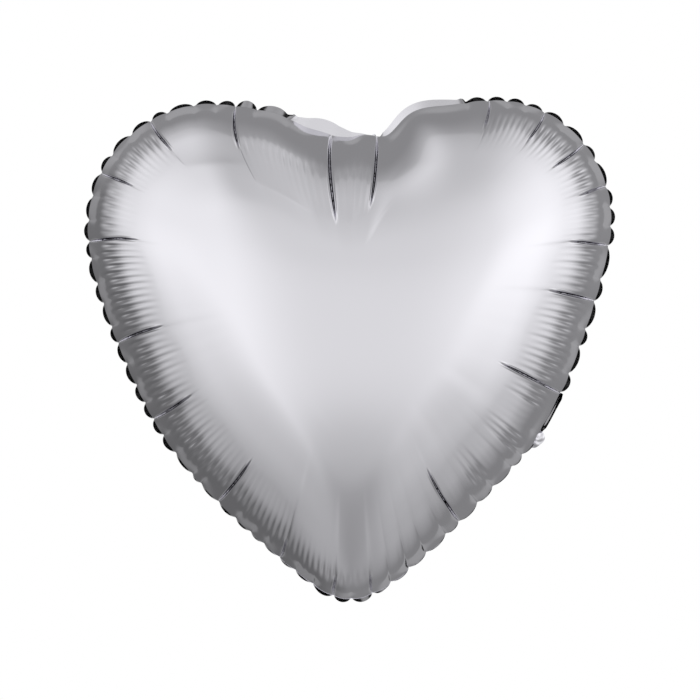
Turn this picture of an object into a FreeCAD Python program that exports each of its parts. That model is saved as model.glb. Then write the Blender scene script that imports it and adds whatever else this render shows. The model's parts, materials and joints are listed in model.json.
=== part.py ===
"""A heart-shaped foil balloon, inflated, with its filling neck folded behind it.

Row frame: +X to the viewer's right, +Y to the back, +Z up; the front face looks along -Y. The origin
is the centre of the balloon's box and the seam lies in the plane Y = 0. Sizes are in millimetres.
"""
import FreeCAD
import Part

import math
import os

import Sketcher
from FreeCAD import Placement, Rotation, Vector

# Driving dimensions: alias, value, what it is.
DIMENSIONS = [
    ("half_depth", 74.0, "seam plane to the crown of either panel"),
    ("film", 0.8, "panel wall, a stand-in for film of 0.03"),
    ("flange_width", 3.5, "how far the ruffled seal stands out from the panels"),
    ("flange_thick", 1.6, "both films, welded"),
    ("dome_power", 2.8, "fullness of the inflated profile"),
    ("tip_inset", 0.58, "extra draw-in of the point, as a share of height"),
    ("neck_width", 28.0, "flat width of the filling neck"),
    ("seal_width", 3.0, "side weld of the neck"),
    ("wall", 0.6, "one wall of the neck"),
    ("valve_film", 0.3, "one film of the valve"),
    ("passage", 0.6, "gap between the valve's two films"),
    ("root_in", 4.0, "neck root, from the panel edge inward"),
    ("root_out", 2.7, "neck root, from the panel edge outward"),
    ("fold_at", 4.2, "fold line of the neck, outward from the panel edge"),
    ("fold_gap", 1.3, "bare film each side of a fold line"),
    ("base_radius", 54.0, "bend of the folded neck behind the shoulder"),
    ("base_turn", 44.0, "angle that the first half of the neck turns through"),
    ("end_radius", 150.0, "bend of the second half"),
    ("end_turn", 19.0, "angle that the second half turns through"),
    ("valve_length", 70.0, "valve sleeve inside the balloon"),
    ("valve_seal", 2.0, "edge weld of the valve sleeve"),
    ("print_width", 18.0, "release print that keeps the neck from welding shut"),
    ("print_thick", 0.1, "release print"),
]

# The seal's outer edge, anticlockwise from the cleft as seen from the front: x, z.
OUTLINE = [
    (19, 139.5), (-6, 145), (-38, 153.5), (-71, 159.5), (-97, 161), (-129, 151), (-157, 126), (-171, 87),
    (-164, 38), (-146, -10), (-120, -60), (-80, -106), (-38, -143), (0, -164), (37, -145), (86, -98),
    (125, -54), (152, 3), (167, 52), (172, 88), (160, 127), (132, 154), (100, 163.5), (63, 160.5), (38, 154),
]
CENTRE = Vector(0, 0, 32)
NECK_POINT = 16  # the outline's point at the lower side of the neck
NECK_ALONG = 0.24  # where the neck sits on the way to the next point
TIP_ANGLE = -90.0
TIP_SPREAD = 17.0
# Heights of the panel's sections, as shares of the half depth.
LEVELS = [0.0, 0.12, 0.3, 0.5, 0.68, 0.82, 0.92, 0.98, 0.998]

doc = FreeCAD.newDocument("foil_balloon")
sheet = doc.addObject("Spreadsheet::Sheet", "sheet")


def fill_sheet():
    """One row per driving dimension: its name, its value under an alias, and a note."""
    for row, (alias, value, note) in enumerate(DIMENSIONS, start=1):
        sheet.set(f"A{row}", alias)
        sheet.set(f"B{row}", str(value))
        sheet.setAlias(f"B{row}", alias)
        sheet.set(f"C{row}", note)
    doc.recompute()


fill_sheet()


def size(alias):
    return float(sheet.get(alias))


# ---------------------------------------------------------------- the heart and its sections


def toward_centre(point, distance):
    """The point moved towards the heart's centre by that distance."""
    ray = point - CENTRE
    return CENTRE + ray * (1 - distance / ray.Length)


def outline_points(inset):
    return [toward_centre(Vector(x, 0, z), inset) for x, z in OUTLINE]


def section_points(level, inset):
    """The panel's outline at a height: the rim drawn in towards the centre, and more so at the point."""
    power = size("dome_power")
    full = (1 - level**2) ** (1 / power)
    pointed = full * (1 - size("tip_inset") * level * (1 - level))
    points = []
    for rim in outline_points(inset):
        ray = rim - CENTRE
        off_tip = math.degrees(math.atan2(ray.z, ray.x)) - TIP_ANGLE
        near_tip = math.exp(-0.5 * (off_tip / TIP_SPREAD) ** 2)
        points.append(CENTRE + ray * (full + (pointed - full) * near_tip))
    return points


def closed_curve(points):
    curve = Part.BSplineCurve()
    curve.interpolate([Vector(p.x, p.z, 0) for p in points], PeriodicFlag=True)
    return curve


def outline_sketch(name, points):
    """A sketch in the XZ plane that holds one closed curve."""
    sketch = doc.addObject("Sketcher::SketchObject", name)
    sketch.Placement = Placement(Vector(), Rotation(Vector(1, 0, 0), 90))
    sketch.addGeometry(closed_curve(points), False)
    return sketch


def dome(name, inset, less_depth):
    """A loft through the sections of the inflated front half."""
    sections = []
    for number, level in enumerate(LEVELS):
        sketch = outline_sketch(f"{name}_section_{number}", section_points(level, inset))
        sketch.setExpression("Placement.Base.y", f"-(sheet.half_depth - {less_depth}) * {level}")
        sections.append(sketch)
    loft = doc.addObject("Part::Loft", name)
    loft.Sections = sections
    loft.Solid = True
    loft.Ruled = False
    return loft


def cut(name, base, tool):
    result = doc.addObject("Part::Cut", name)
    result.Base = base
    result.Tool = tool
    return result


def mirror(name, source, normal, base=Vector()):
    result = doc.addObject("Part::Mirroring", name)
    result.Source = source
    result.Normal = normal
    result.Base = base
    return result


# ---------------------------------------------------------------- the neck's own frame


def neck_frame():
    """At the panel's edge: local x runs outward, local y to the back and local z along the seam."""
    curve = closed_curve(outline_points(size("flange_width")))
    start, end = (Vector(*OUTLINE[NECK_POINT + k], 0) for k in (0, 1))
    at = curve.parameter(start + (end - start) * NECK_ALONG)
    place, along = curve.value(at), curve.tangent(at)[0]
    out = Vector(along.y, 0, -along.x).normalize()
    back = Vector(0, 1, 0)
    return Placement(Vector(place.x, 0, place.y), Rotation(out, back, out.cross(back), "XYZ"))


NECK = neck_frame()


def side_sketch(body):
    """A sketch in the body's XY plane, which sees the neck from its side."""
    sketch = body.newObject("Sketcher::SketchObject", f"{body.Name}_side")
    origin = next(f for f in body.Origin.OriginFeatures if f.Role == "XY_Plane")
    sketch.AttachmentSupport = [(origin, "")]
    sketch.MapMode = "FlatFace"
    return sketch


def driven(sketch, constraint, expression):
    """Adds a dimension and ties it to the sheet. A size that the sheet makes negative keeps its sign."""
    number = sketch.addConstraint(constraint)
    sketch.setExpression(f"Constraints[{number}]", expression)


def rectangle(sketch, left, right, bottom, top):
    """A rectangle whose four sides are tied to expressions of the sheet."""
    low = Vector(-1, -1, 0)
    high = Vector(1, 1, 0)
    corners = [low, Vector(high.x, low.y, 0), high, Vector(low.x, high.y, 0)]
    first = len(sketch.Geometry)
    for k in range(4):
        sketch.addGeometry(Part.LineSegment(corners[k], corners[(k + 1) % 4]), False)
    for k in range(4):
        sketch.addConstraint(Sketcher.Constraint("Coincident", first + k, 2, first + (k + 1) % 4, 1))
        kind = "Horizontal" if k % 2 == 0 else "Vertical"
        sketch.addConstraint(Sketcher.Constraint(kind, first + k))
    driven(sketch, Sketcher.Constraint("DistanceX", -1, 1, first, 1, low.x), left)
    driven(sketch, Sketcher.Constraint("DistanceY", -1, 1, first, 1, low.y), bottom)
    driven(sketch, Sketcher.Constraint("DistanceX", -1, 1, first + 1, 2, high.x), right)
    driven(sketch, Sketcher.Constraint("DistanceY", -1, 1, first + 1, 2, high.y), top)


def pad(body, sketch, length):
    """Gives the sketch that thickness, half of it to each side."""
    feature = body.newObject("PartDesign::Pad", f"{body.Name}_pad")
    feature.Profile = sketch
    feature.Midplane = True
    feature.setExpression("Length", length)
    body.Tip = feature


def plate(name, left, right, bottom, top, width):
    """A flat piece of the neck or valve: its side view is a rectangle, and it is as wide as asked."""
    body = doc.addObject("PartDesign::Body", name)
    sketch = side_sketch(body)
    rectangle(sketch, left, right, bottom, top)
    pad(body, sketch, width)
    body.Placement = NECK
    return body


def arc_strip(name, centre, radius, half, start, end, width):
    """A bent piece: an arc of a ring about centre, from angle start to end, as wide as asked.

    centre is a pair of expressions; radius is the ring's middle line and half a pair: how far it
    reaches inward and outward from there.
    """
    body = doc.addObject("PartDesign::Body", name)
    sketch = side_sketch(body)
    middle = Vector(*(evaluate(e) for e in centre), 0)
    radii = [evaluate(f"{radius} - ({half[0]})"), evaluate(f"{radius} + ({half[1]})")]
    angles = [math.radians(evaluate(start)), math.radians(evaluate(end))]
    for r in radii:
        circle = Part.Circle(middle, Vector(0, 0, 1), r)
        sketch.addGeometry(Part.ArcOfCircle(circle, *angles), False)
    for k in (0, 1):
        ends = [middle + Vector(math.cos(angles[k]), math.sin(angles[k]), 0) * r for r in radii]
        sketch.addGeometry(Part.LineSegment(*ends), False)
    for line, arc_end in ((2, 1), (3, 2)):
        sketch.addConstraint(Sketcher.Constraint("Coincident", line, 1, 0, arc_end))
        sketch.addConstraint(Sketcher.Constraint("Coincident", line, 2, 1, arc_end))
    sketch.addConstraint(Sketcher.Constraint("Coincident", 0, 3, 1, 3))
    driven(sketch, Sketcher.Constraint("DistanceX", -1, 1, 0, 3, middle.x), centre[0])
    driven(sketch, Sketcher.Constraint("DistanceY", -1, 1, 0, 3, middle.y), centre[1])
    driven(sketch, Sketcher.Constraint("Radius", 0, radii[0]), f"{radius} - ({half[0]})")
    driven(sketch, Sketcher.Constraint("Radius", 1, radii[1]), f"{radius} + ({half[1]})")
    for arc, reach in ((0, f"{radius} - ({half[0]})"), (1, f"{radius} + ({half[1]})")):
        for point, angle in ((1, start), (2, end)):
            rise = f"{centre[1]} + ({reach}) * sin({angle})"
            value = evaluate(rise)
            driven(sketch, Sketcher.Constraint("DistanceY", -1, 1, arc, point, value), rise)
    pad(body, sketch, width)
    body.Placement = NECK
    return body


def evaluate(expression):
    """The number that an expression of the sheet gives."""
    value = sheet.evalExpression(str(expression))
    return float(getattr(value, "Value", value))


def strip_pair(name, one, offset):
    """Two like strips, one each side of the neck's middle: the piece moved by offset, and its mirror."""
    across = NECK.Rotation.multVec(Vector(0, 0, 1))
    one.Placement = Placement(NECK.Base + across * offset, NECK.Rotation)
    other = mirror(f"{name}_other", one, across, NECK.Base)
    both = doc.addObject("Part::Compound", name)
    both.Links = [one, other]
    return both


def stack(name, first, second):
    """Two pieces under one name."""
    both = doc.addObject("Part::Compound", name)
    both.Links = [first, second]
    return both


# ---------------------------------------------------------------- expressions used by several pieces

HALF_CORE = "(sheet.passage / 2 + sheet.valve_film)"
HALF_NECK = "(sheet.passage / 2 + sheet.valve_film + sheet.wall)"
INNER_WIDTH = "sheet.neck_width - 2 * sheet.seal_width"

nodes = {}


# ---------------------------------------------------------------- panels and seal


def make_panels():
    """Two hollow half shells that meet at the seam, with a slot where the neck leaves."""
    outer = dome("outer_dome", size("flange_width"), "0")
    inner = dome("inner_dome", size("flange_width") + size("film"), "sheet.film")
    shell = cut("front_shell", outer, inner)
    slot = doc.addObject("Part::Box", "neck_slot")
    slot.setExpression("Length", "2 * sheet.root_in")
    slot.setExpression("Width", f"2 * {HALF_NECK}")
    slot.setExpression("Height", "sheet.neck_width")
    corner = Vector(-size("root_in"), -evaluate(HALF_NECK), -size("neck_width") / 2)
    slot.Placement = NECK.multiply(Placement(corner, Rotation()))
    nodes["front_panel"] = cut("front_panel", shell, slot)
    nodes["back_panel"] = mirror("back_panel", nodes["front_panel"], Vector(0, 1, 0))
    return slot


def make_seam_flange(slot):
    """The welded margin of both films, all the way round except across the neck."""
    body = doc.addObject("PartDesign::Body", "seal_ring")
    outer = body.newObject("Sketcher::SketchObject", "seal_outer_edge")
    outer.Placement = Placement(Vector(), Rotation(Vector(1, 0, 0), 90))
    outer.addGeometry(closed_curve(outline_points(0)), False)
    outer.addGeometry(closed_curve(outline_points(size("flange_width"))), False)
    pad(body, outer, "sheet.flange_thick")
    nodes["seam_flange"] = cut("seam_flange", body, slot)


def make_neck_root():
    """The short sleeve of both films in the seal's gap, with the valve films and release print in it."""
    sides = ("-sheet.root_in", "sheet.root_out")
    front = (f"-{HALF_NECK}", f"-{HALF_CORE}")
    back = (HALF_CORE, HALF_NECK)
    nodes["root_front_wall"] = plate("root_front_wall", *sides, *front, "sheet.neck_width")
    nodes["root_back_wall"] = plate("root_back_wall", *sides, *back, "sheet.neck_width")
    weld = plate("root_side_seal", *sides, f"-{HALF_CORE}", HALF_CORE, "sheet.seal_width")
    offset = evaluate("(sheet.neck_width - sheet.seal_width) / 2")
    nodes["root_side_seals"] = strip_pair("root_side_seals", weld, offset)
    low = plate("valve_root_front", *sides, f"-{HALF_CORE}", "-sheet.passage / 2", INNER_WIDTH)
    high = plate("valve_root_back", *sides, "sheet.passage / 2", HALF_CORE, INNER_WIDTH)
    nodes["valve_root_films"] = stack("valve_root_films", low, high)
    floor, top = "-sheet.passage / 2", "-sheet.passage / 2 + sheet.print_thick"
    nodes["release_print"] = plate("release_print", *sides, floor, top, "sheet.print_width")


# ---------------------------------------------------------------- valve sleeve inside the balloon


def make_valve():
    """Two clear films welded along their edges, hanging free inside from the neck's root."""
    start, end = "-sheet.root_in - sheet.fold_gap - sheet.valve_length", "-sheet.root_in - sheet.fold_gap"
    width = INNER_WIDTH
    nodes["valve_front_film"] = plate(
        "valve_front_film", start, end, f"-{HALF_CORE}", "-sheet.passage / 2", width
    )
    nodes["valve_back_film"] = plate(
        "valve_back_film", start, end, "sheet.passage / 2", HALF_CORE, width
    )
    weld = plate(
        "valve_edge_seal", start, end, "-sheet.passage / 2", "sheet.passage / 2", "sheet.valve_seal"
    )
    offset = evaluate(f"(({INNER_WIDTH}) - sheet.valve_seal) / 2")
    nodes["valve_edge_seals"] = strip_pair("valve_edge_seals", weld, offset)


# ---------------------------------------------------------------- folded neck


def make_bent_sleeve(part, centre, radius, start, end, with_films):
    """One half of the folded neck. The front film is outermost, because the neck folds backward."""
    width = "sheet.neck_width"
    back_wall = (HALF_NECK, f"-{HALF_CORE}")
    front_wall = (f"-{HALF_CORE}", HALF_NECK)
    where = (centre, radius)
    turn = (start, end)
    nodes[f"{part}_back_wall"] = arc_strip(f"{part}_back_wall", *where, back_wall, *turn, width)
    nodes[f"{part}_front_wall"] = arc_strip(f"{part}_front_wall", *where, front_wall, *turn, width)
    core = (HALF_CORE, HALF_CORE)
    weld = arc_strip(f"{part}_side_seal", *where, core, *turn, "sheet.seal_width")
    offset = evaluate("(sheet.neck_width - sheet.seal_width) / 2")
    nodes[f"{part}_side_seals"] = strip_pair(f"{part}_side_seals", weld, offset)
    if with_films:
        inner = (HALF_CORE, "-sheet.passage / 2")
        outer = ("-sheet.passage / 2", HALF_CORE)
        low = arc_strip(f"{part}_valve_back", *where, inner, *turn, INNER_WIDTH)
        high = arc_strip(f"{part}_valve_front", *where, outer, *turn, INNER_WIDTH)
        nodes[f"{part}_valve_films"] = stack(f"{part}_valve_films", low, high)


def make_neck():
    """The first half bends over the shoulder of the back panel, and the second half lies along it."""
    gap_angle = "(asin(sheet.fold_gap / sheet.base_radius) / 1deg)"
    first = ("sheet.fold_at - sheet.base_radius", "0")
    make_bent_sleeve("neck", first, "sheet.base_radius", gap_angle, "sheet.base_turn", True)
    # The second arc's centre lies on the line through the first one's centre and the bend.
    back_off = "(sheet.base_radius - sheet.end_radius)"
    bend = f"(sheet.base_turn + {gap_angle})"
    second = (
        f"sheet.fold_at - sheet.base_radius + {back_off} * cos({bend})",
        f"{back_off} * sin({bend})",
    )
    start = f"({bend} + asin(sheet.fold_gap / sheet.end_radius) / 1deg)"
    end = f"{start} + sheet.end_turn"
    make_bent_sleeve("tail", second, "sheet.end_radius", start, end, False)


def check_and_write():
    """Stops on any failed feature or bad shape, then writes each node's STEP file."""
    doc.recompute()
    failed = [o.Name for o in doc.Objects if {"Invalid", "Error"} & set(o.State)]
    if failed:
        raise RuntimeError(f"these objects failed: {failed}")
    os.makedirs("parts", exist_ok=True)
    for name, feature in nodes.items():
        feature.Label = name
        shape = feature.Shape
        if shape.isNull() or not shape.isValid() or not shape.Solids:
            raise RuntimeError(f"{name} has no valid solid")
        shape.exportStep(f"parts/{name}.step")
        print(f"{name}: {len(shape.Solids)} solid(s), {shape.Volume / 1000:.3f} cm3")


def print_frame():
    """The numbers that the record's joints and mounts repeat, in metres."""
    turn = NECK.Rotation
    bend = math.radians(size("base_turn")) + math.asin(size("fold_gap") / size("base_radius"))
    radius = size("base_radius")
    bend_point = Vector(size("fold_at") - radius + radius * math.cos(bend), radius * math.sin(bend), 0)
    places = {
        "valve_sway": Vector(-size("root_in") - size("fold_gap") / 2, 0, 0),
        "neck_fold": Vector(size("fold_at"), 0, 0),
        "tail_bend": bend_point,
    }
    for name, local in places.items():
        point = NECK.multVec(local)
        print(name, [round(c / 1000, 6) for c in point])
    print("outward", [round(c, 6) for c in turn.multVec(Vector(1, 0, 0))])
    print("along the seam", [round(c, 6) for c in turn.multVec(Vector(0, 0, 1))])
    reach = math.radians(size("end_turn")) + bend + 2 * math.asin(size("fold_gap") / size("end_radius")) / 2
    far = size("end_radius")
    centre = bend_point - Vector(math.cos(bend), math.sin(bend), 0) * far
    mouth = centre + Vector(math.cos(reach), math.sin(reach), 0) * far
    print("mouth", [round(c / 1000, 6) for c in NECK.multVec(mouth)])
    leaving = turn.multVec(Vector(-math.sin(reach), math.cos(reach), 0))
    print("mouth axis", [round(c, 6) for c in leaving])


slot_box = make_panels()
make_seam_flange(slot_box)
make_neck_root()
make_valve()
make_neck()
check_and_write()
print_frame()
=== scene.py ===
"""The looks of a heart-shaped foil balloon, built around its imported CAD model.

Everything is in metres in the row frame: +X to the right, +Y to the back, +Z up. The seam lies in the
plane Y = 0 and the front face looks along -Y. The outline comes from the frame's seam flange. Each panel
is a grid of meridians, which start square to the seam and run to the heart's middle, and rings, which
follow the seam at growing distances. Pleats and flat bands are moves along the smooth dome's normal,
pockets are moves in the seam's plane, and creases are moves straight back.
"""

import json
import math

import bpy
import numpy as np
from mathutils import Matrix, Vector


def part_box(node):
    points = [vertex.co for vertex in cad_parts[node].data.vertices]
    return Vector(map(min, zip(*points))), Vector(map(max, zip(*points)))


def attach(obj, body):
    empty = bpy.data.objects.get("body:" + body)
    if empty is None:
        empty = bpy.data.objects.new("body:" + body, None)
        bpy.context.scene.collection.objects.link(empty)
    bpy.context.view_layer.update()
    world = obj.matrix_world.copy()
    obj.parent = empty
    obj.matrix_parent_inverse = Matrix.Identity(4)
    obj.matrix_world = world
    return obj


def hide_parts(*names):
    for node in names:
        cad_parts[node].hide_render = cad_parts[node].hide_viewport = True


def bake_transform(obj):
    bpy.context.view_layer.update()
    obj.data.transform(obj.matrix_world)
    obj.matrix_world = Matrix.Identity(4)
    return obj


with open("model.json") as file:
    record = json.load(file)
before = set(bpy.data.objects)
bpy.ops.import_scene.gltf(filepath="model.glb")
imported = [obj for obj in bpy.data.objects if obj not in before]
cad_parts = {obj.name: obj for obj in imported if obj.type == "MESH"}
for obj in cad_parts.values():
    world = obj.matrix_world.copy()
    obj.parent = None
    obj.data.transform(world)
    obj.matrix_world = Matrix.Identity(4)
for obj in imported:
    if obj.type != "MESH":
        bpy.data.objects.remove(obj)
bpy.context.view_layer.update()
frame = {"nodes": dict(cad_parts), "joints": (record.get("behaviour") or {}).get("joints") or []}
MM = 0.001

# ---------------------------------------------------------------- driving sizes

MIDDLE = np.array([0.0, 32.0]) * MM  # where the meridians meet, x and z
CLEFT = np.array([20.0, 138.0]) * MM  # the inner end of the cleft between the lobes, x and z
COLUMNS = 2048  # meridians
OUTLINE_POINTS = 6000  # steps in which the outline is worked out
HARMONICS = 22  # terms of the series that tells the flange's inner and outer edges apart
RIM_RINGS = 19  # rings close together beside the seam
RIM_STEP = 0.055 * MM  # ring number squared times this is its distance from the seam
BAND_RINGS = 21  # evenly spaced rings where the pleats are
BAND_END = 64.0 * MM  # pleats end before here
INNER_RINGS = 22  # rings from there to the middle
MERGE_BELOW = 1.9 * MM  # inner columns merge in pairs while the wider ones stay under this
LEAVE_SLOPE = 1.64  # the film leaves the seam no steeper than this

SEAM_INSET = 1.8 * MM  # from the frame's outer edge to the panels' seam, where the flange leans back
HIDDEN_INSET = 0.3 * MM  # the same where the flange is narrow or stands up
FLAP_INSET = 7.0 * MM  # how much further in the seam lies under the flap
FLANGE_WIDTH = 11.3 * MM
FLAP_WIDTH = 9.0 * MM  # the pale flap to the left of the cleft
CLEFT_BAND_WIDTH = 6.5 * MM  # the pale band to the right of the cleft

PLEAT_SPACING = 5.0 * MM
PLEATS_START = (11, 24)  # how far in from the seam the pleats start, in mm, in short and in long gores
LONG_REACH = 45  # a gore that reaches further in than this, in mm, is a long one
GROUPED = (-63.4, -85.4)  # in the gores that start here the pleats come in groups
FRONT_SEED, BACK_SEED = 11, 12

NECK_EDGE = -35.0  # the lower edge of the filling neck; its upper edge is at the crease at -23.4
NECK_BENDS = (54.0 * MM, 150.0 * MM)  # radii that the folded neck follows behind the shoulder
NECK_INSET = 0.3 * MM  # how far inside the fold line the neck leaves the seam
NECK_HALF = 14.0 * MM  # half the neck's width
TAIL_LENGTH = 50.0 * MM

FILM_COLOR = (0.858, 0.85, 0.894)
WIDTH_IN_VIEW = 455 * MM  # what the camera takes in at the seam

# The long creases: angle about the middle in degrees, length in mm and depth in mm. Then, for the gore
# that starts at the crease and runs anticlockwise: how strongly it pleats, how far in it reaches in mm,
# and how flat it is.
FOLDS = [
    (-169.7, 32, 5.0, 1.0, 40, 0.25),
    (-148.9, 30, 5.0, 1.0, 40, 0.25),
    (-123.0, 36, 5.5, 0.7, 38, 0.3),
    (-105.3, 14, 3.0, 0.4, 30, 0.2),
    (-93.0, 14, 3.0, 0.3, 24, 0.1),
    (-85.4, 14, 3.0, 0.1, 34, 0.2),
    (-63.4, 42, 6.0, 1.1, 40, 0.3),
    (-23.4, 45, 6.0, 1.0, 40, 0.25),
    (0.0, 32, 5.0, 0.8, 38, 0.2),
    (12.1, 27, 4.0, 0.4, 36, 0.2),
    (23.9, 20, 3.5, 0.8, 36, 0.2),
    (33.7, 28, 4.5, 0.9, 36, 0.2),
    (44.0, 24, 4.0, 0.4, 38, 0.1),
    (55.2, 20, 3.0, 0.0, 44, 0.05),
    (80.4, 48, 7.0, 0.25, 58, 0.3),
    (95.8, 58, 7.0, 0.2, 62, 0.4),
    (120.4, 30, 5.0, 0.0, 46, 0.65),
    (137.8, 26, 4.5, 0.7, 38, 0.3),
    (152.6, 24, 4.0, 0.4, 36, 0.2),
    (167.0, 34, 5.0, 1.0, 40, 0.25),
]


# ---------------------------------------------------------------- the outline


def polar(points):
    """Angle in radians and radius of x, z points about the middle."""
    ray = points - MIDDLE
    return np.arctan2(ray[:, 1], ray[:, 0]), np.hypot(ray[:, 0], ray[:, 1])


def between(degrees, low, high, soft=4.0):
    """1 for angles from low anticlockwise to high, and 0 elsewhere, with soft ends."""
    half = ((high - low) % 360) / 2
    off = np.abs((degrees - low - half + 180) % 360 - 180)
    return 1 - smoothstep(half - soft, half + soft, off)


def smoothstep(low, high, value):
    """0 below low and 1 above high, with an eased step between; high to low turns it round."""
    share = np.clip((value - low) / (high - low), 0, 1)
    return share * share * (3 - 2 * share)


def waves(angle, count):
    """The columns of a Fourier series at these angles."""
    columns = [np.ones_like(angle)]
    for n in range(1, count + 1):
        columns += [np.cos(n * angle), np.sin(n * angle)]
    return np.stack(columns, 1)


def smooth_round(values, reach, length):
    """Values evenly spaced round the closed seam, smoothed with a Gaussian of that reach in metres."""
    freq = np.fft.fftfreq(len(values), d=length / len(values))
    gain = np.exp(-2 * (math.pi * freq * reach) ** 2)
    return np.real(np.fft.ifft(np.fft.fft(values, axis=0) * gain[:, None], axis=0))


def seam_outline():
    """The seam as evenly spaced points anticlockwise: x and z, its outward normal, and its length."""
    mesh = frame["nodes"]["seam_flange"].data
    co = np.array([v.co for v in mesh.vertices])[:, [0, 2]]
    angle, radius = polar(co)
    # A series through both of the flange's edges runs between them, so it tells them apart.
    series = waves(angle, HARMONICS)
    outer = radius > series @ np.linalg.lstsq(series, radius, rcond=None)[0]
    order = np.argsort(angle[outer])
    known_angle, known_radius = angle[outer][order], radius[outer][order]
    degrees = np.degrees(known_angle)
    hidden = np.maximum(between(degrees, -84, -36), between(degrees, 79, 109))
    inset = SEAM_INSET + (HIDDEN_INSET - SEAM_INSET) * hidden
    inset += FLAP_INSET * between(degrees, 88, 108, 5)
    known_radius = known_radius - inset
    turn = np.linspace(-math.pi, math.pi, OUTLINE_POINTS, endpoint=False)
    r = np.interp(turn, known_angle, known_radius, period=2 * math.pi)
    points = MIDDLE + np.stack([np.cos(turn), np.sin(turn)], 1) * r[:, None]
    closed = np.vstack([points, points[:1]])
    along = np.concatenate([[0], np.cumsum(np.linalg.norm(np.diff(closed, axis=0), axis=1))])
    even = np.linspace(0, along[-1], OUTLINE_POINTS, endpoint=False)
    points = np.stack([np.interp(even, along, closed[:, k]) for k in (0, 1)], 1)
    points = smooth_round(points, 2.5 * MM, along[-1])
    tangent = np.roll(points, -1, 0) - np.roll(points, 1, 0)
    tangent = smooth_round(tangent, 1.5 * MM, along[-1])
    tangent /= np.linalg.norm(tangent, axis=1)[:, None]
    return points, np.stack([tangent[:, 1], -tangent[:, 0]], 1), along[-1]


EVEN_SEAM, EVEN_OUTWARD, SEAM_LENGTH = seam_outline()


def place_at(degrees):
    """The distance along the seam of its point at that angle about the middle."""
    angle, _ = polar(EVEN_SEAM)
    gap = np.angle(np.exp(1j * (angle - math.radians(degrees))))
    return float(np.argmin(np.abs(gap))) * SEAM_LENGTH / OUTLINE_POINTS


def short_way(gap):
    """A distance along the closed seam, the short way round."""
    return (gap + SEAM_LENGTH / 2) % SEAM_LENGTH - SEAM_LENGTH / 2


def column_places():
    """Where each meridian starts along the seam: closer together beside the deep folds."""
    place = np.linspace(0, SEAM_LENGTH, OUTLINE_POINTS + 1)
    density = np.ones_like(place)
    for degrees, *_ in FOLDS:
        density += 3.0 * np.exp(-((short_way(place - place_at(degrees)) / (2.0 * MM)) ** 2))
    total = np.concatenate([[0], np.cumsum((density[1:] + density[:-1]) / 2)])
    return np.interp(np.arange(COLUMNS) * total[-1] / COLUMNS, total, place)


ALONG = column_places()


def at_columns(even_values):
    """Evenly spaced values round the seam, read at the meridians."""
    even = np.arange(OUTLINE_POINTS) * SEAM_LENGTH / OUTLINE_POINTS
    return np.stack(
        [np.interp(ALONG, even, even_values[:, k], period=SEAM_LENGTH) for k in (0, 1)], 1
    )


SEAM = at_columns(EVEN_SEAM)
OUTWARD = at_columns(EVEN_OUTWARD)
OUTWARD /= np.linalg.norm(OUTWARD, axis=1)[:, None]


# ---------------------------------------------------------------- the smooth dome


def meridian_grid():
    """Points x, z at [ring, column], and each one's distance from the seam along its meridian."""
    angle, reach = polar(SEAM)
    # How far a meridian goes square to the seam before it turns: not at all at the heart's point, and
    # less than elsewhere beside the cleft, where the meridians fan out.
    off_tip = np.abs(np.angle(np.exp(1j * (angle + math.pi / 2))))
    square = 0.3 * reach * (1 - np.exp(-((off_tip / math.radians(34)) ** 2)))
    square *= 1 - 0.5 * between(np.degrees(angle), 62, 88, 10)
    normal = at_columns(smooth_round(EVEN_OUTWARD, 14 * MM, SEAM_LENGTH))
    knee = SEAM - normal * square[:, None]
    t = np.linspace(0, 1, 400)[:, None, None]
    lines = (1 - t) ** 2 * SEAM + 2 * t * (1 - t) * knee + t**2 * MIDDLE
    steps = np.linalg.norm(np.diff(lines, axis=0), axis=2)
    run = np.vstack([np.zeros(COLUMNS), np.cumsum(steps, axis=0)])
    rim = RIM_STEP * np.arange(RIM_RINGS + 1) ** 2
    band = np.linspace(rim[-1], BAND_END, BAND_RINGS + 1)[1:]
    fixed = np.concatenate([rim, band])
    share = np.linspace(0, 1, INNER_RINGS + 1)[1:]
    points = np.empty((len(fixed) + INNER_RINGS, COLUMNS, 2))
    distance = np.empty(points.shape[:2])
    for c in range(COLUMNS):
        d = np.concatenate([fixed, BAND_END + (run[-1, c] - BAND_END) * share])
        distance[:, c] = d
        for k in (0, 1):
            points[:, c, k] = np.interp(d, run[:, c], lines[:, c, k])
    return points, distance


def fullness(points):
    """0 at the seam and 1 at the crown: the bulge of an even load on a membrane of this outline.

    The load's own part is minus a quarter of the squared radius. Point sources outside the outline bring
    the rim to zero.
    """
    sources = (EVEN_SEAM + EVEN_OUTWARD * 22 * MM)[::50]

    def terms(p):
        far = [np.linalg.norm(p - source, axis=-1) / (100 * MM) for source in sources]
        return np.stack([np.ones(p.shape[:-1])] + [np.log(f) for f in far], -1)

    def quarter(p):
        return ((p - MIDDLE) ** 2).sum(-1) / 4

    weights = np.linalg.lstsq(terms(SEAM), quarter(SEAM), rcond=1e-9)[0]
    bulge = terms(points) @ weights - quarter(points)
    return bulge / bulge.max()


def film_profile(full):
    """Height, as a share of the crown's, of a film balloon at this fullness."""
    a = np.linspace(0, math.pi / 2, 4001)
    rise = np.sqrt(np.sin(a))
    area = np.concatenate([[0], np.cumsum((rise[1:] + rise[:-1]) / 2)]) * (a[1] - a[0])
    x_squared = 1 - np.clip(full, 0, 1)
    return (area[-1] - np.interp(np.arcsin(x_squared), a, area)) / area[-1]


GRID, DISTANCE = meridian_grid()


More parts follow.
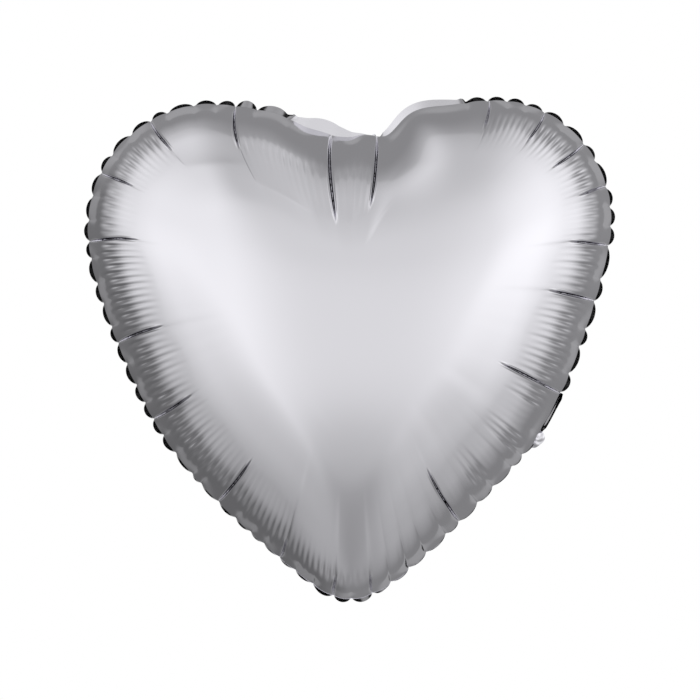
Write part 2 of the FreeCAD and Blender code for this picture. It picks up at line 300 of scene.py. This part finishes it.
def dome_heights(crown):
    """The smooth dome's height over the seam at [ring, column].

    The film balloon's own profile would leave the seam upright. Its slope is held back there, and the
    height lost by that is given back further in: the part shared by neighbours slowly, the rest sooner.
    """
    full = fullness(GRID)
    fade = np.exp(-DISTANCE / (12 * MM))
    full = (full - full[0] * fade) / (1 - full[0] * fade)
    natural = crown * film_profile(full)
    run = np.maximum(np.diff(DISTANCE, axis=0), 1e-9)
    first = GRID[1] - GRID[0]
    square_on = np.clip(-(first * OUTWARD).sum(-1) / np.linalg.norm(first, axis=-1), 0.5, 1)
    climb = np.minimum(np.diff(natural, axis=0), LEAVE_SLOPE * run * square_on)
    eased = np.vstack([np.zeros(COLUMNS), np.cumsum(climb, axis=0)])
    lost = natural[-1] - eased[-1]
    even = smooth_round(lost[:, None], 12 * MM, SEAM_LENGTH)[:, 0]
    rest = (lost - even) * smoothstep(2 * MM, 34 * MM, DISTANCE)
    height = eased + rest + even * smoothstep(14 * MM, 80 * MM, DISTANCE)
    return round_cleft(height, natural)


def round_cleft(height, natural):
    """The meridians fan out round the cleft, so there the slope goes by the distance to the seam itself.

    The distance comes from the sum of the inverse fourth powers of the distances to the seam's points,
    which for a straight seam is pi / 2 over the cube of the distance to it.
    """
    off = np.linalg.norm(GRID - CLEFT, axis=-1)
    close = off < 150 * MM
    seam = SEAM[np.linalg.norm(SEAM - CLEFT, axis=1) < 180 * MM]
    spacing = np.diff(ALONG).mean()
    pull = [((((seam - point) ** 2).sum(1) + 1e-12) ** -2).sum() for point in GRID[close]]
    limit = LEAVE_SLOPE * (2 * np.array(pull) * spacing / math.pi) ** (-1 / 3)
    soft = (limit**-3 + np.maximum(natural[close], 1e-6) ** -3) ** (-1 / 3)
    share = np.exp(-((off[close] / (90 * MM)) ** 4))
    height[close] += share * (soft - height[close])
    return height


def grid_normals(surface):
    """Unit normals at [ring, column] of a surface grid, pointing out of the balloon for the front."""
    around = np.roll(surface, -1, 1) - np.roll(surface, 1, 1)
    inward = np.gradient(surface, axis=0)
    normal = np.cross(around, inward)
    normal[-1] = normal[-2]
    return normal / np.maximum(np.linalg.norm(normal, axis=2), 1e-12)[..., None]


# ---------------------------------------------------------------- folds, creases and pleats


def fold_places(rng):
    """Where the seam folds: at every crease, at the neck's edges, and about every 15 mm between them."""
    neck = place_at(NECK_EDGE)
    starts = sorted([place_at(a) for a, *_ in FOLDS] + [neck])
    folds = []
    for start, end in zip(starts, starts[1:] + [starts[0] + SEAM_LENGTH]):
        cells = 1 if start == neck else max(1, round((end - start) / (15 * MM)))
        cuts = np.arange(cells) + np.concatenate([[0], rng.uniform(-0.22, 0.22, cells - 1)])
        folds += [start + c / cells * (end - start) for c in cuts]
    return np.array(folds) % SEAM_LENGTH


def cell_share(cuts):
    """For every column: how far it is through the cell between its two cuts, and that cell's number."""
    cuts = np.sort(cuts)
    wide = np.concatenate([[cuts[-1] - SEAM_LENGTH], cuts, [cuts[0] + SEAM_LENGTH]])
    number = np.searchsorted(wide, ALONG, side="right") - 1
    share = (ALONG - wide[number]) / (wide[number + 1] - wide[number])
    return share, (number - 1) % len(cuts)


FOLD_SHARE, FOLD_CELL = cell_share(fold_places(np.random.default_rng(7)))
SEAM_DEGREES = np.degrees(polar(SEAM)[0])


def around(low, high, soft=3.0):
    """For every column: 1 if it starts between these two angles about the middle, and 0 elsewhere."""
    return between(SEAM_DEGREES, low, high, soft)


AT_NECK = around(NECK_EDGE, -24.0, 0.6)
AT_CLEFT_FLAP = around(81, 108, 1.5)
AT_CLEFT_BAND = around(60, 79, 1.5)
AT_CLEFT_POINT = around(78.6, 81.4, 1.0)
AT_CLEFT = around(60, 108, 1.5)
LOWER_RIGHT = around(-84, -36, 2.0)
LOWER_LEFT = around(-140, -96)


def pockets(height):
    """The film is drawn in at each fold of the seam and billows between them, close to the seam only."""
    billow = np.clip(4 * FOLD_SHARE * (1 - FOLD_SHARE), 0, 1) ** 0.6
    size = 0.6 + 1.0 * LOWER_RIGHT
    move = (0.3 * billow - size * (1 - billow)) * (1 - AT_CLEFT) * (1 - AT_NECK)
    reach = (12 + 16 * LOWER_RIGHT) * MM
    return move * MM * np.exp(-((height / reach) ** 2))


def creases(rng, height):
    """How far back the long narrow folds lie that run in from the seam, with lips at their inner ends."""
    total = np.zeros(DISTANCE.shape)
    for degrees, length, depth, *_ in FOLDS:
        gap = short_way(ALONG - place_at(degrees))[None, :]
        share = DISTANCE / (length * MM)
        wander = 0.7 * MM * (np.sin(share * rng.uniform(2, 4) + rng.uniform(0, 6)) - 0.2)
        width = (0.3 + 0.1 * np.clip(1 - share, 0, 1)) * MM
        off = np.abs(gap - wander) / width
        lips = 0.2 * share**2 * np.exp(-(((off - 4) / 1.8) ** 2))
        valley = np.exp(-(off**1.2)) - lips
        deep = np.minimum(1.9 * depth * MM, 0.65 * height)
        total += deep * valley * (1 - smoothstep(0.7, 1.05, share))
    return total


GORES = sorted(FOLDS, key=lambda fold: place_at(fold[0]))
GORE_STARTS = [place_at(fold[0]) for fold in GORES]


def gores():
    """The film between two creases swells near the seam, and then runs flat along the meridian.

    The flat part ends in a knuckle, where the dome takes over.
    """
    share, cell = cell_share(np.array(GORE_STARTS))
    crown = 4 * share * (1 - share)
    reach = np.array([fold[4] for fold in GORES])[cell] * (0.92 + 0.08 * crown) * MM
    flatness = np.array([fold[5] for fold in GORES])[cell]
    flat = np.clip((DISTANCE - 23 * MM) * (reach - DISTANCE), 0, None) / (12 * MM) ** 2
    swell = smoothstep(0, 9 * MM, DISTANCE) * (1 - smoothstep(9 * MM, 40 * MM, DISTANCE))
    return MM * (0.7 * crown**0.8 * swell - flat * flatness * crown**0.25)


def pleats(rng):
    """Fine pleats, square to the seam: deepest at their outer ends, and gone where the gore ends."""
    share, cell = cell_share(np.array(GORE_STARTS))
    total = np.zeros(DISTANCE.shape)
    for number, fold in enumerate(GORES):
        mine = np.flatnonzero(cell == number)
        strength, reach = fold[3:5]
        span = (GORE_STARTS[(number + 1) % len(GORES)] - GORE_STARTS[number]) % SEAM_LENGTH
        count = max(2, round(span / PLEAT_SPACING))
        phase = share[mine] * count
        valley = (0.5 + 0.5 * np.cos(2 * math.pi * phase)) ** 1.3
        pleat = np.rint(phase).astype(int)
        size = rng.uniform(0.4, 0.75, count + 1)
        if fold[0] in GROUPED:
            in_group = np.cos(2 * math.pi * np.arange(count + 1) / 7 + 1) > -0.1
            size *= np.where(in_group, 1.0, 0.1)
        outer = PLEATS_START[reach >= LONG_REACH]
        begin = (outer + rng.uniform(-1.5, 2, count + 1))[pleat] * MM
        finish = (reach + rng.uniform(-5, 2, count + 1))[pleat] * MM
        run = DISTANCE[:, mine]
        fade = 1 - smoothstep(begin, finish, run)
        well = 1 + 0.9 * np.exp(-(((run - begin - 3 * MM) / (5 * MM)) ** 2))
        start = smoothstep(begin - 6 * MM, begin + 3 * MM, run)
        total[:, mine] -= strength * size[pleat] * MM * valley * well * start * fade**0.8
    return total


def flattened_tip():
    """The ridge above the heart's point is pressed flat."""
    x, z = GRID[..., 0], GRID[..., 1]
    return 3.3 * MM * np.exp(-((x / (28 * MM)) ** 2) - ((z + 100 * MM) / (38 * MM)) ** 2)


def seam_swing():
    """How far the seam swings to the back, at each column: to and fro from fold to fold."""
    swing = np.where(FOLD_CELL % 2 == 0, 1.0, -1.0) * np.sin(math.pi * FOLD_SHARE) ** 1.2
    return 0.8 * MM * swing * (1 - AT_CLEFT) * (1 - AT_NECK)


def panel_surface(side, seed):
    """One panel's points at [ring, column]. side is -1 for the front and 1 for the back."""
    rng = np.random.default_rng(seed)
    low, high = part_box("front_panel" if side < 0 else "back_panel")
    height = dome_heights(max(-low.y, high.y) - 0.6 * MM)
    # Both panels are worked out as the front one, and the back one is then turned over.
    smooth = np.stack([GRID[..., 0], -height, GRID[..., 1]], 2)
    back = creases(rng, height)
    move = gores() + pleats(rng) - flattened_tip()
    surface = smooth + grid_normals(smooth) * move[..., None]
    surface[..., 1] += back
    surface[..., [0, 2]] += OUTWARD * pockets(height)[..., None]
    surface[..., 1] *= -side
    surface[..., 1] += seam_swing() * np.exp(-height / (7 * MM))
    return surface


# ---------------------------------------------------------------- meshes


def ring_plan():
    """For each ring, how many of the columns it keeps: fewer towards the middle."""
    plan = []
    for ring in range(len(GRID)):
        across = np.linalg.norm(GRID[ring] - np.roll(GRID[ring], 1, 0), axis=1).mean()
        keep = 1
        while ring > RIM_RINGS + BAND_RINGS and across * keep * 2 < MERGE_BELOW and keep < 32:
            keep *= 2
        plan.append(max(keep, plan[-1]) if plan else keep)
    for ring in range(1, len(plan)):
        plan[ring] = min(plan[ring], plan[ring - 1] * 2)
    return plan


def stitch(surface, name, flip):
    """A mesh from a surface grid, with columns merged two into one as the rings shrink."""
    plan = ring_plan()
    points, rows = [], []
    for ring, keep in enumerate(plan[:-1]):
        kept = surface[ring, ::keep]
        rows.append(len(points) + np.arange(len(kept)))
        points.extend(kept.tolist())
    middle = len(points)
    points.append(surface[-1].mean(0).tolist())
    faces = []
    for outer, inner in zip(rows, rows[1:]):
        n = len(outer)
        after = np.roll(outer, -1)
        if len(inner) == n:
            faces += list(zip(outer, after, np.roll(inner, -1), inner))
            continue
        for j in range(len(inner)):
            a, b, c = outer[2 * j], outer[2 * j + 1], outer[(2 * j + 2) % n]
            p, q = inner[j], inner[(j + 1) % len(inner)]
            faces += [(a, b, p), (b, q, p), (b, c, q)]
    last = rows[-1]
    faces += [(a, b, middle) for a, b in zip(last, np.roll(last, -1))]
    return make_mesh(name, points, faces, flip)


def make_mesh(name, points, faces, flip=False):
    """A smooth-shaded piece; flip turns its faces over."""
    mesh = bpy.data.meshes.new(name)
    whole = [tuple(int(v) for v in (f[::-1] if flip else f)) for f in faces]
    mesh.from_pydata([tuple(p) for p in points], [], whole)
    mesh.update()
    mesh.polygons.foreach_set("use_smooth", [True] * len(mesh.polygons))
    piece = bpy.data.objects.new(name, mesh)
    bpy.context.scene.collection.objects.link(piece)
    return piece


def strip_mesh(name, grid, flip=False):
    """A mesh from a grid of points [row, column] whose last column joins its first."""
    rows, columns = grid.shape[:2]
    points = grid.reshape(-1, 3)
    faces = []
    for r in range(rows - 1):
        for c in range(columns):
            d = (c + 1) % columns
            here, below = r * columns, (r + 1) * columns
            faces.append((here + c, here + d, below + d, below + c))
    return make_mesh(name, points, faces, flip)


# ---------------------------------------------------------------- materials


def new_material(name):
    """A material with its node list, its links and its main shader."""
    material = bpy.data.materials.new(name)
    material.use_nodes = True
    nodes = material.node_tree.nodes
    return material, nodes, material.node_tree.links, nodes["Principled BSDF"]


def satin_film(name, color, roughness):
    """Metallised film with a satin face: soft reflections, faint mottle, and a fine micro-wrinkle."""
    material, nodes, links, shader = new_material(name)
    shader.inputs["Metallic"].default_value = 1.0
    shader.inputs["Base Color"].default_value = (*color, 1)
    where = nodes.new("ShaderNodeTexCoord")
    mottle = nodes.new("ShaderNodeTexNoise")
    mottle.inputs["Scale"].default_value = 45
    mottle.inputs["Detail"].default_value = 3
    links.new(where.outputs["Object"], mottle.inputs["Vector"])
    spread = nodes.new("ShaderNodeMapRange")
    spread.inputs["To Min"].default_value = roughness - 0.03
    spread.inputs["To Max"].default_value = roughness + 0.03
    links.new(mottle.outputs["Fac"], spread.inputs["Value"])
    links.new(spread.outputs["Result"], shader.inputs["Roughness"])
    wrinkle = nodes.new("ShaderNodeTexNoise")
    wrinkle.inputs["Scale"].default_value = 700
    wrinkle.inputs["Detail"].default_value = 2
    links.new(where.outputs["Object"], wrinkle.inputs["Vector"])
    bump = nodes.new("ShaderNodeBump")
    bump.inputs["Strength"].default_value = 0.05
    bump.inputs["Distance"].default_value = 0.1 * MM
    links.new(wrinkle.outputs["Fac"], bump.inputs["Height"])
    links.new(bump.outputs["Normal"], shader.inputs["Normal"])
    return material


def clear_film():
    """The clear film of the flap valve."""
    material, _, _, shader = new_material("clear_film_look")
    shader.inputs["Base Color"].default_value = (0.9, 0.9, 0.92, 1)
    shader.inputs["Roughness"].default_value = 0.1
    shader.inputs["Transmission Weight"].default_value = 0.9
    return material


def release_print():
    """The pale matt print between the valve's films."""
    material, _, _, shader = new_material("release_print_look")
    shader.inputs["Base Color"].default_value = (0.75, 0.77, 0.8, 1)
    shader.inputs["Roughness"].default_value = 0.6
    return material


# ---------------------------------------------------------------- the pieces


def make_panels(material):
    """The front and back films."""
    for side, name in ((-1, "front_film"), (1, "back_film")):
        surface = panel_surface(side, FRONT_SEED if side < 0 else BACK_SEED)
        piece = stitch(surface, name, flip=side > 0)
        piece.data.materials.append(material)
        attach(piece, "balloon")
        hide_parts("front_panel" if side < 0 else "back_panel")


def flange_shape(rng):
    """For each column: how wide the welded margin is, and how far it leans back, in radians.

    It leans back by its tilt in the middle of each cell, and nearly straight back at the folds. It stands
    up beside the cleft, as a flap to the left and a band to the right.
    """
    tilt = rng.uniform(69, 72, FOLD_CELL.max() + 1)[FOLD_CELL]
    tilt = tilt + 7 * LOWER_LEFT + LOWER_RIGHT - 9 * around(108, 121)
    lean = tilt + (89 - tilt) * (1 - np.sin(math.pi * FOLD_SHARE) ** 0.5)
    lean = lean + (12 - lean) * AT_CLEFT_FLAP
    lean = lean + (35 - lean) * AT_CLEFT_BAND
    share = np.clip((SEAM_DEGREES - 83) / 27, 0, 1) ** 1.3
    flap = FLAP_WIDTH * np.sin(math.pi * share)
    share = np.clip((SEAM_DEGREES - 59) / 21, 0, 1)
    band = CLEFT_BAND_WIDTH * (4 * share * (1 - share)) ** 0.5
    width = FLANGE_WIDTH + (flap - FLANGE_WIDTH) * AT_CLEFT_FLAP
    width = width + (band - width) * AT_CLEFT_BAND
    width = width * (1 - 0.95 * AT_NECK) * (1 - 0.65 * LOWER_RIGHT) * (1 - 0.9 * AT_CLEFT_POINT)
    return width, np.radians(lean)


def make_flange(material):
    """The welded margin ruffles and leans back from the seam; beside the cleft it stands up."""
    seam = panel_surface(-1, FRONT_SEED)[0]
    rows = 8
    width, lean = flange_shape(np.random.default_rng(5))
    grid = np.empty((rows, COLUMNS, 3))
    for row, share in enumerate(np.linspace(0, 1, rows)):
        out = width * share * np.cos(lean) - 0.3 * MM
        grid[row, :, 0] = seam[:, 0] + OUTWARD[:, 0] * out
        grid[row, :, 2] = seam[:, 2] + OUTWARD[:, 1] * out
        grid[row, :, 1] = seam[:, 1] + width * share * np.sin(lean)
    piece = strip_mesh("seam_ruffle", grid)
    piece.data.materials.append(material)
    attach(piece, "balloon")
    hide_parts("seam_flange")


# ---------------------------------------------------------------- the folded neck


JOINTS = {joint["name"]: joint for joint in frame["joints"]}
FOLD_POINT = np.array(JOINTS["neck_fold"]["pos_m"])
BEND_POINT = np.array(JOINTS["tail_bend"]["pos_m"])
ALONG_SEAM = -np.array(JOINTS["neck_fold"]["axis"])
BACK = np.array([0.0, 1.0, 0.0])
OUT = np.cross(BACK, ALONG_SEAM)


def neck_path():
    """The neck's middle line: pairs of how far out and how far back from the fold line, in metres."""
    step = 1.0 * MM
    bend = BEND_POINT - FOLD_POINT
    inner = np.array([-NECK_BENDS[0], 0.0])
    turn = math.atan2(bend @ BACK, bend @ OUT + NECK_BENDS[0])
    first = np.arange(7 * MM, NECK_BENDS[0] * turn, step) / NECK_BENDS[0]
    arc = inner + NECK_BENDS[0] * np.stack([np.cos(first), np.sin(first)], 1)
    middle = inner - (NECK_BENDS[1] - NECK_BENDS[0]) * np.array([math.cos(turn), math.sin(turn)])
    second = turn + np.arange(0, TAIL_LENGTH, step) / NECK_BENDS[1]
    tail = middle + NECK_BENDS[1] * np.stack([np.cos(second), np.sin(second)], 1)
    arc[:, 0] -= NECK_INSET * (1 - smoothstep(7 * MM, 36 * MM, arc[:, 1]))
    # It leaves the seam nearly straight back, and meets the first arc after six points.
    leave_out = np.array([-2.7, -2.45, -2.15, -1.8, -1.4, -0.95]) * MM - NECK_INSET
    leave_back = np.array([-0.3, 0.6, 1.6, 2.8, 4.1, 5.5]) * MM
    return np.vstack([np.stack([leave_out, leave_back], 1), arc, tail])


def sleeve(name, path, widths, plump):
    """A flat tube along a path, with thin welded edges.

    At each row, widths is half its width, and plump is the share of its full thickness.
    """
    ahead = np.gradient(path, axis=0)
    ahead /= np.linalg.norm(ahead, axis=1)[:, None]
    outward = np.stack([ahead[:, 1], -ahead[:, 0]], 1)
    across = np.sin(np.linspace(-math.pi / 2, math.pi / 2, 29))
    there, back = across, across[-2:0:-1]
    loop = np.concatenate([there, back])
    face = np.concatenate([np.ones(len(there)), -np.ones(len(back))])
    thick = (0.15 + 0.95 * smoothstep(1.0, 0.72, np.abs(loop))) * MM
    run = np.arange(len(path))[:, None]
    ripple = 0.22 * MM * np.sin(run * 0.5 + 3 * loop) * np.sin(run * 0.13 + 1.7) * (1 - loop**2)
    off = plump[:, None] * face * thick + ripple
    place = path[:, None, :] + outward[:, None, :] * off[..., None]
    grid = FOLD_POINT + place[..., :1] * OUT + place[..., 1:] * BACK
    grid = grid + (widths[:, None] * loop)[..., None] * ALONG_SEAM
    return strip_mesh(name, grid, flip=True)


def make_neck(material, lining, printed):
    """Two lengths of sleeve, one across each fold, the valve's films inside them, and a corner."""
    path = neck_path()
    half = np.full(len(path), NECK_HALF)
    cut = 24  # the row where the tail starts
    printed_rows = 9
    plump = smoothstep(-7, 5, np.arange(len(path)))
    near = sleeve("neck_film", path[: cut + 1], half[: cut + 1], plump[: cut + 1])
    far = sleeve("tail_film", path[cut:], half[cut:], plump[cut:])
    root = ["root_front_wall", "root_back_wall", "root_side_seals"]
    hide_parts(*root, "neck_front_wall", "neck_back_wall", "neck_side_seals")
    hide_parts("tail_front_wall", "tail_back_wall", "tail_side_seals")
    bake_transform(near)
    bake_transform(far)
    liner = sleeve("neck_liner", path[: cut + 1], half[: cut + 1] - 4 * MM, 0.3 * plump[: cut + 1])
    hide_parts("valve_root_films", "neck_valve_films")
    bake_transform(liner)
    liner.data.materials.append(lining)
    patch = sleeve(
        "release_patch", path[:printed_rows], half[:printed_rows] - 6 * MM, 0.12 * plump[:printed_rows]
    )
    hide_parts("release_print")
    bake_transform(patch)
    patch.data.materials.append(printed)
    corner = neck_corner()
    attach(corner, "neck")
    for piece in (near, far, corner):
        piece.data.materials.append(material)


def neck_corner():
    """A crumpled corner of film at the lower end of the fold."""
    rings = np.linspace(0.05, 1, 14)[:, None]
    turn = np.linspace(0, 2 * math.pi, 40, endpoint=False)[None, :]
    along = -20.0 * MM + 6.5 * MM * rings * np.sin(turn)
    out = -2.6 * MM + 5.5 * MM * rings * np.cos(turn) * (1 + 0.12 * np.sin(3 * turn))
    crumple = np.sin(2 * turn + 4 * rings) + 0.7 * np.sin(5 * turn - 6 * rings)
    back = 4.5 * MM + 2.0 * MM * rings**2 + 0.7 * MM * rings * crumple
    grid = FOLD_POINT + out[..., None] * OUT + back[..., None] * BACK + along[..., None] * ALONG_SEAM
    return strip_mesh("neck_corner", grid)


# ---------------------------------------------------------------- light and camera


def math_node(nodes, links, operation, *values):
    """One arithmetic step of a node tree; each value is a number or another node's output."""
    node = nodes.new("ShaderNodeMath")
    node.operation = operation
    for socket, value in zip(node.inputs, values):
        if isinstance(value, (int, float)):
            socket.default_value = value
        else:
            links.new(value, socket)
    return node.outputs["Value"]


def make_world():
    """A studio: a wide bright screen in front, dimmer above and below, and grey to black behind.

    Each ramp is a direction, the cosines from it where the ramp starts and is full, and its strength.
    """
    world = bpy.data.worlds.new("studio")
    bpy.context.scene.world = world
    world.use_nodes = True
    nodes, links = world.node_tree.nodes, world.node_tree.links
    nodes.clear()
    where = nodes.new("ShaderNodeTexCoord")

    def combine(operation, *values):
        return math_node(nodes, links, operation, *values)

    def ramp(direction, start, full, power):
        """A smooth step of light from one cosine to another about a direction."""
        dot = nodes.new("ShaderNodeVectorMath")
        dot.operation = "DOT_PRODUCT"
        links.new(where.outputs["Generated"], dot.inputs[0])
        dot.inputs[1].default_value = direction
        step = nodes.new("ShaderNodeMapRange")
        step.interpolation_type = "SMOOTHSTEP"
        step.inputs["From Min"].default_value = start
        step.inputs["From Max"].default_value = full
        step.inputs["To Max"].default_value = power
        links.new(dot.outputs["Value"], step.inputs["Value"])
        return step.outputs["Result"]

    def total(base, ramps):
        for values in ramps:
            base = combine("ADD", base, ramp(*values))
        return base

    front, right, left, up, down, back = (
        (0, -1, 0), (1, 0, 0), (-1, 0, 0), (0, 0, 1), (0, 0, -1), (0, 1, 0)
    )
    sides = total(0.0, [
        (right, 0.0, 1.0, 0.54),
        (right, 0.25, 0.9, -0.2),
        (left, 0.0, 0.35, 0.21),
    ])
    sides = combine("MULTIPLY", sides, total(1.0, [(down, 0.2, 0.65, -0.5)]))
    screen = total(0.8, [
        (up, 0.0, 0.5, -0.08),
        (up, 0.4, 1.0, -0.21),
        (down, 0.0, 0.5, -0.22),
        (down, 0.4, 1.0, -0.25),
    ])
    screen = combine("ADD", screen, sides)
    room = total(0.275, [
        (down, 0.0, 0.6, -0.035),
        ((-0.85, 0.35, -0.4), 0.5, 0.9, -0.1),
        (back, 0.58, 0.64, 0.1),
        (back, 0.93, 0.98, 0.6),
    ])
    # The black behind the balloon is lifted towards the lower right.
    kept = total(1.0, [((0.33, 0.72, -0.61), 0.94, 0.975, -0.9)])
    black = combine("MULTIPLY", ramp(back, 0.74, 0.78, -0.6), kept)
    room = combine("ADD", room, black)
    share = ramp(front, -0.39, 0.28, 1.0)
    light = combine("ADD", room, combine("MULTIPLY", share, combine("SUBTRACT", screen, room)))
    top_edge = combine("MULTIPLY", ramp(front, -0.08, -0.02, 0.07), ramp(up, 0.3, 0.8, 1.0))
    light = combine("MAXIMUM", combine("ADD", light, top_edge), 0.0)
    # The film mirrors the studio, and the camera sees plain white round the balloon.
    studio = nodes.new("ShaderNodeBackground")
    links.new(light, studio.inputs["Color"])
    white = nodes.new("ShaderNodeBackground")
    white.inputs["Color"].default_value = (1, 1, 1, 1)
    seen = nodes.new("ShaderNodeLightPath")
    mix = nodes.new("ShaderNodeMixShader")
    links.new(seen.outputs["Is Camera Ray"], mix.inputs["Fac"])
    links.new(studio.outputs["Background"], mix.inputs[1])
    links.new(white.outputs["Background"], mix.inputs[2])
    out = nodes.new("ShaderNodeOutputWorld")
    links.new(mix.outputs["Shader"], out.inputs["Surface"])


def make_camera():
    """Straight on, at the height of the balloon's middle."""
    data = bpy.data.cameras.new("camera")
    data.lens = 120
    camera = bpy.data.objects.new("camera", data)
    bpy.context.scene.collection.objects.link(camera)
    camera.location = (0.6 * MM, -WIDTH_IN_VIEW / 2 / math.tan(data.angle / 2), 0)
    camera.rotation_euler = (math.pi / 2, 0, 0)
    bpy.context.scene.camera = camera


make_camera()
film = satin_film("satin_film_look", FILM_COLOR, 0.09)
welded = satin_film("welded_film_look", FILM_COLOR, 0.14)
make_panels(film)
make_flange(welded)
clear = clear_film()
make_neck(film, clear, release_print())
for node in frame["nodes"].values():
    if not node.hide_render:
        node.data.materials.clear()
        node.data.materials.append(clear)
make_world()
bpy.context.scene.view_settings.view_transform = "Standard"
